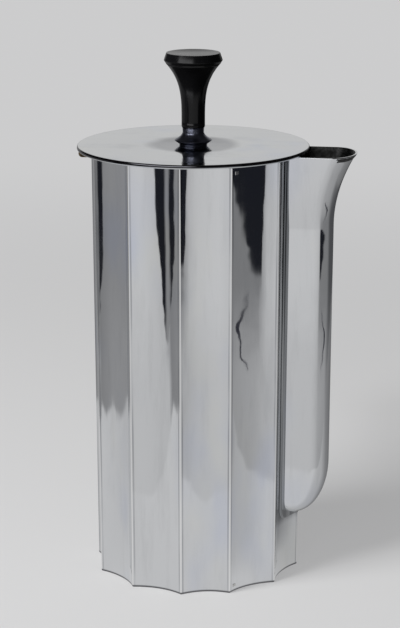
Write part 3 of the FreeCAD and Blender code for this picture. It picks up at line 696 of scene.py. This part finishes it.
def make_knob():
    """Ferrule with a thin rim, and the trumpet knob with a joint ring, a bevel and a dished top."""
    foot, neck_top = FERRULE_LOW.z - 0.3 * MM, FERRULE_HIGH.z
    rim_r = FERRULE_HIGH.x - KNOB_X
    corners = [(0, foot, 0), (5.2 * MM, foot, 0), (5.3 * MM, foot + 0.9 * MM, 0.3 * MM),
               (rim_r + 0.1 * MM, foot + 2.2 * MM, 0.05 * MM)]
    curve = trumpet(4.05 * MM, rim_r - 0.1 * MM, foot + 5.4 * MM, foot + 2.45 * MM, 1.9, 20)
    corners += curve[::-1]
    corners += [(4.12 * MM, neck_top - 0.5 * MM, 0.05 * MM), (4.3 * MM, neck_top - 0.1 * MM, 0.05 * MM),
                (0, neck_top, 0)]
    points, faces = lathe(rounded(corners), (KNOB_X, 0, 0))
    add_piece("knob_collar", points, faces, "lid", SHADED_COLLAR_CHROME, ["knob_ferrule"])

    rim = KNOB_HIGH.x - KNOB_X
    top, low = KNOB_HIGH.z, KNOB_LOW.z
    bevel = top - 2.3 * MM
    corners = [(0, low, 0), (STEM_RADIUS, low, 0.15 * MM), (STEM_RADIUS, low + 1.5 * MM, 0),
               (STEM_RADIUS - 0.09 * MM, low + 1.6 * MM, 0), (STEM_RADIUS, low + 1.7 * MM, 0)]
    corners += trumpet(STEM_RADIUS, rim - 0.75 * MM, low + 1.8 * MM, bevel - 1.7 * MM, 3.4)
    corners += [(rim - 0.86 * MM, bevel - 1.6 * MM, 0), (rim - 0.5 * MM, bevel - 1.3 * MM, 0.05 * MM),
                (rim, bevel - 0.5 * MM, 0.45 * MM), (rim - 0.95 * MM, top, 0.2 * MM)]
    dish_edge, dish = rim - 1.3 * MM, 0.4 * MM
    corners += [(dish_edge * (1 - t), top - dish * (1 - (1 - t) ** 2), 0) for t in np.linspace(0, 1, 12)]
    points, faces = lathe(rounded(corners), (KNOB_X, 0, 0))
    add_piece("knob_turned", points, faces, "lid", BLACK, ["knob"])


def make_handle():
    """Straight grip with its chrome ferrule; turned about the handle's own axis."""
    centre = (0, 0, HANDLE_Z)
    boss_r = BOSS_HIGH.x
    face = BOSS_HIGH.y
    root = 34.5 * MM
    corners = [(0, root, 0), (boss_r, root, 0), (boss_r, face, 0.6 * MM), (0, face, 0)]
    points, faces = lathe(rounded(corners), centre, along="Y")
    add_piece("handle_socket", points, faces, "pot", TRIM_CHROME, ["handle_boss"])

    end = HANDLE_FERRULE_HIGH.y
    curve = trumpet(7.7 * MM, boss_r - 0.6 * MM, end - 1 * MM, face + 0.9 * MM, 2.6, 20)
    collar_r = boss_r - 0.2 * MM
    corners = [(0, face, 0), (collar_r, face, 0.2 * MM), (collar_r, face + 0.6 * MM, 0.2 * MM)]
    corners += curve[::-1] + [(8.0 * MM, end - 0.5 * MM, 0.2 * MM), (8.0 * MM, end, 0.2 * MM), (0, end, 0)]
    points, faces = lathe(rounded(corners), centre, along="Y")
    add_piece("handle_collar", points, faces, "pot", TRIM_CHROME, ["handle_ferrule"])

    rim = GRIP_HIGH.x
    far = GRIP_HIGH.y
    corners = [(STUD_HOLE, end, 0), (GRIP_START, end, 0.2 * MM), (GRIP_START, end + 1 * MM, 0)]
    corners += trumpet(GRIP_START, rim - 0.5 * MM, end + 1.2 * MM, far - 4.0 * MM, 3.0)
    corners += [(rim, far - 3.0 * MM, 0.5 * MM), (rim - 0.9 * MM, far, 0.5 * MM),
                (RECESS_RADIUS, far, 0.5 * MM), (RECESS_RADIUS, far - RECESS_DEPTH, 0.3 * MM),
                (STUD_HOLE, far - RECESS_DEPTH, 0)]
    points, faces = lathe(rounded(corners), centre, along="Y")
    add_piece("handle_turned", points, faces, "pot", BLACK, ["handle_grip"])


# ---- CAD nodes that stay ------------------------------------------------------------------
def finish_cad_nodes():
    """Materials for the CAD nodes that are shown as they are."""
    kept = {
        "base_plate": INNER_CHROME, "mouth_ring": INNER_CHROME, "lid_collar": INNER_CHROME,
        "hinge_bracket": HINGE_BRASS, "hinge_pin": HINGE_BRASS, "hinge_lid_leaf": HINGE_BRASS,
        "knob_insert": FIXING_BRASS, "knob_washer": FIXING_STEEL, "knob_screw": FIXING_STEEL,
        "handle_stud": FIXING_STEEL, "handle_washer": FIXING_STEEL, "handle_nut": TRIM_CHROME,
    }
    for node, material in kept.items():
        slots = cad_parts[node].data.materials
        slots.clear()
        slots.append(material)


# ---- studio -------------------------------------------------------------------------------
CAMERA_AZIMUTH = radians(9.3)
CAMERA_DISTANCE = 0.8316
CAMERA_HEIGHT = 0.3148
CAMERA_PITCH = radians(14.47)
CAMERA_AIM_RIGHT = 0.00116
CAMERA_LENS = 127.4
SENSOR_WIDTH = 36


def make_camera():
    """Camera in front of the spout's side view, a little above the lid and tilted down."""
    data = bpy.data.cameras.new("camera")
    data.lens = CAMERA_LENS
    data.sensor_width = SENSOR_WIDTH
    camera = bpy.data.objects.new("camera", data)
    bpy.context.scene.collection.objects.link(camera)
    across, back = CAMERA_DISTANCE * sin(CAMERA_AZIMUTH), CAMERA_DISTANCE * cos(CAMERA_AZIMUTH)
    camera.location = (across, -back, CAMERA_HEIGHT)
    right = Vector((cos(CAMERA_AZIMUTH), sin(CAMERA_AZIMUTH), 0)) * CAMERA_AIM_RIGHT
    aim = right + Vector((0, 0, CAMERA_HEIGHT - CAMERA_DISTANCE * tan(CAMERA_PITCH)))
    camera.rotation_euler = (aim - camera.location).to_track_quat("-Z", "Y").to_euler()
    bpy.context.scene.camera = camera


def turn_from_front(n, x, y):
    """Bearing from the front of the studio, as 0 to 1 over a full turn with the front at 0.5."""
    front = n.math("ARCTAN2", x, n.math("MULTIPLY", y, -1.0))
    turned = n.math("DIVIDE", n.math("SUBTRACT", front, CAMERA_AZIMUTH), 2 * pi)
    return n.math("FRACT", n.math("ADD", turned, 1.5))


def bearing(degrees):
    """Place on a ramp of a bearing in degrees, as turn_from_front gives it."""
    return degrees / 360 + 0.5


# The camera sees a plain pale floor and background. Reflections see a painted studio instead: the
# floor's brightness by bearing in degrees from the front, in four zones outwards from the pot.
NEAR_TONES = ((-180, 0.35), (-155, 0.50), (-120, 0.53), (-60, 0.60), (40, 0.59), (62, 0.48),
              (90, 0.43), (112, 0.24), (140, 0.17), (174, 0.17), (180, 0.35))
MID_TONES = ((-180, 0.24), (-155, 0.28), (-108, 0.30), (-94, 0.30), (-72, 0.24), (-66, 0.52), (-20, 0.56),
             (25, 0.52), (45, 0.47), (60, 0.39), (100, 0.33), (115, 0.17), (174, 0.13), (180, 0.24))
OUTER_TONES = ((-180, 0.24), (-150, 0.27), (-94, 0.27), (-72, 0.22), (-64, 0.50), (-20, 0.62), (25, 0.58),
               (42, 0.52), (54, 0.22), (105, 0.21), (120, 0.08), (174, 0.06), (180, 0.2))
FAR_TONES = ((-180, 0.30), (-90, 0.27), (-84, 0.27), (-81, 0.012), (-73, 0.012), (-70, 0.25), (-65, 0.25),
             (-62, 0.012), (-46, 0.012), (-42, 0.60), (-10, 0.66), (43, 0.58), (47, 0.012), (113, 0.012),
             (119, 0.03), (174, 0.03), (180, 0.30))
# where the near zone ends and where the far zone starts, in metres, by bearing
NEAR_REACH = ((-180, 0.60), (-158, 0.45), (-150, 0.28), (-140, 0.25), (-120, 0.236), (-108, 0.228),
              (-98, 0.238), (-92, 0.255), (-88, 0.25), (-80, 0.236), (-73, 0.26), (-66, 0.21), (-50, 0.165),
              (-35, 0.14), (-8, 0.145), (8, 0.133), (45, 0.160), (63, 0.163), (90, 0.20), (112, 0.30),
              (180, 0.60))
FAR_REACH = ((-180, 2.0), (-84, 1.0), (-80, 0.55), (-72, 0.44), (-66, 0.36), (-60, 0.42), (-45, 0.72),
             (-42, 1.2), (43, 1.2), (46, 0.85), (50, 0.52), (60, 0.53), (85, 0.64), (113, 0.80),
             (119, 0.7), (150, 0.7), (180, 2.0))
MID_FADE, PLAIN_FADE = (0.30, 0.50), (0.30, 0.90)  # metres from the pot's axis
WANDER, WANDER_SCALE = 0.020, 14.0  # how far the zones' borders stray, in metres
# a bent dark mark among the reflections: bearings in degrees, distances in metres
BEND_BEARING, BEND_SWING, BEND_HALF_WIDTH = 94.0, 24.0, 4.0
BEND_DISTANCE, BEND_REACH = 0.390, 0.064
BEND_TONE = (0.03, 0.03, 0.035, 1)
# world brightness by the sine of the angle above the horizon
BACK_RISE = ((0.0, 0.40), (0.08, 0.46), (0.13, 0.60), (0.21, 0.61), (0.27, 0.42), (0.34, 0.22), (0.5, 0.05))
FRONT_RISE = ((0.0, 0.03), (0.5, 0.02), (0.9, 0.04))
FRONT_SHARE = ((-180, 0.0), (-160, 0.0), (-140, 1.0), (140, 1.0), (160, 0.0))
PANEL_SPAN = ((-68, 0.0), (-60, 1.0), (-6, 1.0), (4, 0.0))
PANEL_RISE = ((0.24, 0.0), (0.30, 1.0), (0.46, 1.0), (0.54, 0.0))
PANEL_LIGHT = (3.4, 3.4, 3.45, 1)
# what the camera sees: lit paper near the pot, mixed with a plain tone by this share and upwards
PLAIN_TONE = (0.605, 0.605, 0.61, 1)
PLAIN_SHARE = 0.60
PAPER = (0.80, 0.80, 0.80, 1)
DARK_TINT = (0.0, 0.001, 0.005)
REACH_SCALE = 2.0  # a ramp holds 0 to 1, so reaches are stored divided by this
FLOOR_HALF = 2.5
LAMP_SIZE, LAMP_POWER = 0.7, 22.0
LAMP_PLACE, LAMP_AIM = (-0.75, -0.75, 0.95), (0, 0, 0.05)


def tones(n, turn, table, scale=1.0):
    """Value of a table by bearing, divided by scale."""
    return n.ramp(turn, [(bearing(degrees), value / scale) for degrees, value in table])


def make_world():
    """Plain tone for the camera; backdrop, dark sides and a bright panel for all other rays."""
    world = bpy.data.worlds.new("studio")
    world.use_nodes = True
    bpy.context.scene.world = world
    n = Nodes(world.node_tree)
    direction = n.add("ShaderNodeTexCoord").outputs["Generated"]
    axes = n.add("ShaderNodeSeparateXYZ", {"Vector": direction}).outputs
    turn = turn_from_front(n, axes["X"], axes["Y"])
    rise = axes["Z"]
    low = tones(n, turn, FAR_TONES)
    high = n.mix(tones(n, turn, FRONT_SHARE), n.ramp(rise, BACK_RISE), n.ramp(rise, FRONT_RISE))
    panel = n.math("MULTIPLY", tones(n, turn, PANEL_SPAN), n.ramp(rise, PANEL_RISE))
    lit = n.mix(panel, high, PANEL_LIGHT)
    studio = n.mix(n.smooth(rise, -0.03, 0.005), low, lit)
    seen = n.add("ShaderNodeLightPath").outputs["Is Camera Ray"]
    shown = n.mix(seen, studio, PLAIN_TONE)
    light = n.add("ShaderNodeBackground", {"Color": shown, "Strength": 1.0})
    n.add("ShaderNodeOutputWorld", {"Surface": light.outputs["Background"]})


def make_floor():
    """Pale floor for the camera, and the painted zones and the bent mark for all other rays."""
    material, n = new_material("studio_floor")
    place = n.add("ShaderNodeTexCoord").outputs["Object"]
    noise = {"Vector": place, "Scale": WANDER_SCALE, "Detail": 3.0}
    wander = n.add("ShaderNodeTexNoise", noise).outputs["Color"]
    centred = n.add("ShaderNodeVectorMath", {0: wander, 1: (0.5, 0.5, 0.5)}, operation="SUBTRACT").outputs[0]
    nudge = n.add("ShaderNodeVectorMath", {0: centred, "Scale": WANDER}, operation="SCALE").outputs[0]
    moved = n.add("ShaderNodeVectorMath", {0: place, 1: nudge}, operation="ADD").outputs[0]
    level = n.add("ShaderNodeVectorMath", {0: moved, 1: (1, 1, 0)}, operation="MULTIPLY").outputs[0]
    axes = n.add("ShaderNodeSeparateXYZ", {"Vector": level}).outputs
    turn = turn_from_front(n, axes["X"], axes["Y"])
    distance = n.add("ShaderNodeVectorMath", {0: level}, operation="LENGTH").outputs["Value"]
    near = n.math("MULTIPLY", tones(n, turn, NEAR_REACH, REACH_SCALE), REACH_SCALE)
    past_near = n.smooth(n.math("DIVIDE", distance, near), 0.97, 1.05)
    past_mid = n.smooth(distance, *MID_FADE)
    reach = n.math("MULTIPLY", tones(n, turn, FAR_REACH, REACH_SCALE), REACH_SCALE)
    past_outer = n.smooth(n.math("DIVIDE", distance, reach), 0.97, 1.03)
    tone = n.mix(past_near, tones(n, turn, NEAR_TONES), tones(n, turn, MID_TONES))
    tone = n.mix(n.math("MULTIPLY", past_near, past_mid), tone, tones(n, turn, OUTER_TONES))
    tone = n.mix(past_outer, tone, tones(n, turn, FAR_TONES))
    flat = n.add("ShaderNodeSeparateXYZ", {"Vector": place}).outputs
    straight = n.add("ShaderNodeVectorMath", {0: place}, operation="LENGTH").outputs["Value"]
    along = n.math("ABSOLUTE", n.math("DIVIDE", n.math("SUBTRACT", straight, BEND_DISTANCE), BEND_REACH))
    line = n.math("MULTIPLY_ADD", n.math("POWER", along, 1.4), -BEND_SWING / 360, bearing(BEND_BEARING))
    off_line = n.math("ABSOLUTE", n.math("SUBTRACT", turn_from_front(n, flat["X"], flat["Y"]), line))
    width = n.math("MULTIPLY_ADD", along, -0.7 * BEND_HALF_WIDTH / 360, BEND_HALF_WIDTH / 360)
    bent = n.math("MULTIPLY", n.math("LESS_THAN", off_line, width), n.math("LESS_THAN", along, 1.0))
    tone = n.mix(bent, tone, BEND_TONE)
    tone = n.add("ShaderNodeVectorMath", {0: tone, 1: DARK_TINT}, operation="ADD").outputs[0]
    painted = n.add("ShaderNodeEmission", {"Color": tone, "Strength": 1.0})
    paper = n.add("ShaderNodeBsdfDiffuse", {"Color": PAPER})
    plain = n.add("ShaderNodeEmission", {"Color": PLAIN_TONE, "Strength": 1.0})
    fade = n.math("MULTIPLY_ADD", n.smooth(distance, *PLAIN_FADE), 1 - PLAIN_SHARE, PLAIN_SHARE)
    shown = n.add("ShaderNodeMixShader", {0: fade, 1: paper.outputs[0], 2: plain.outputs[0]})
    seen = n.add("ShaderNodeLightPath").outputs["Is Camera Ray"]
    surface = n.add("ShaderNodeMixShader", {0: seen, 1: painted.outputs[0], 2: shown.outputs[0]})
    n.add("ShaderNodeOutputMaterial", {"Surface": surface.outputs[0]})
    h = FLOOR_HALF
    mesh = bpy.data.meshes.new("floor")
    mesh.from_pydata([(-h, -h, 0), (h, -h, 0), (h, h, 0), (-h, h, 0)], [], [(0, 1, 2, 3)])
    mesh.materials.append(material)
    floor = bpy.data.objects.new("floor", mesh)
    bpy.context.scene.collection.objects.link(floor)


def make_light():
    """One soft lamp that gives the floor its shadow; reflections don't see it."""
    data = bpy.data.lights.new("softbox", "AREA")
    data.shape = "DISK"
    data.size = LAMP_SIZE
    data.energy = LAMP_POWER
    lamp = bpy.data.objects.new("softbox", data)
    lamp.location = LAMP_PLACE
    lamp.rotation_euler = (Vector(LAMP_AIM) - lamp.location).to_track_quat("-Z", "Y").to_euler()
    lamp.visible_glossy = False
    bpy.context.scene.collection.objects.link(lamp)


make_body()
make_spout()
make_flange()
make_lid()
make_knob()
make_handle()
finish_cad_nodes()
make_world()
make_floor()
make_light()
make_camera()
bpy.context.scene.view_settings.view_transform = "Standard"
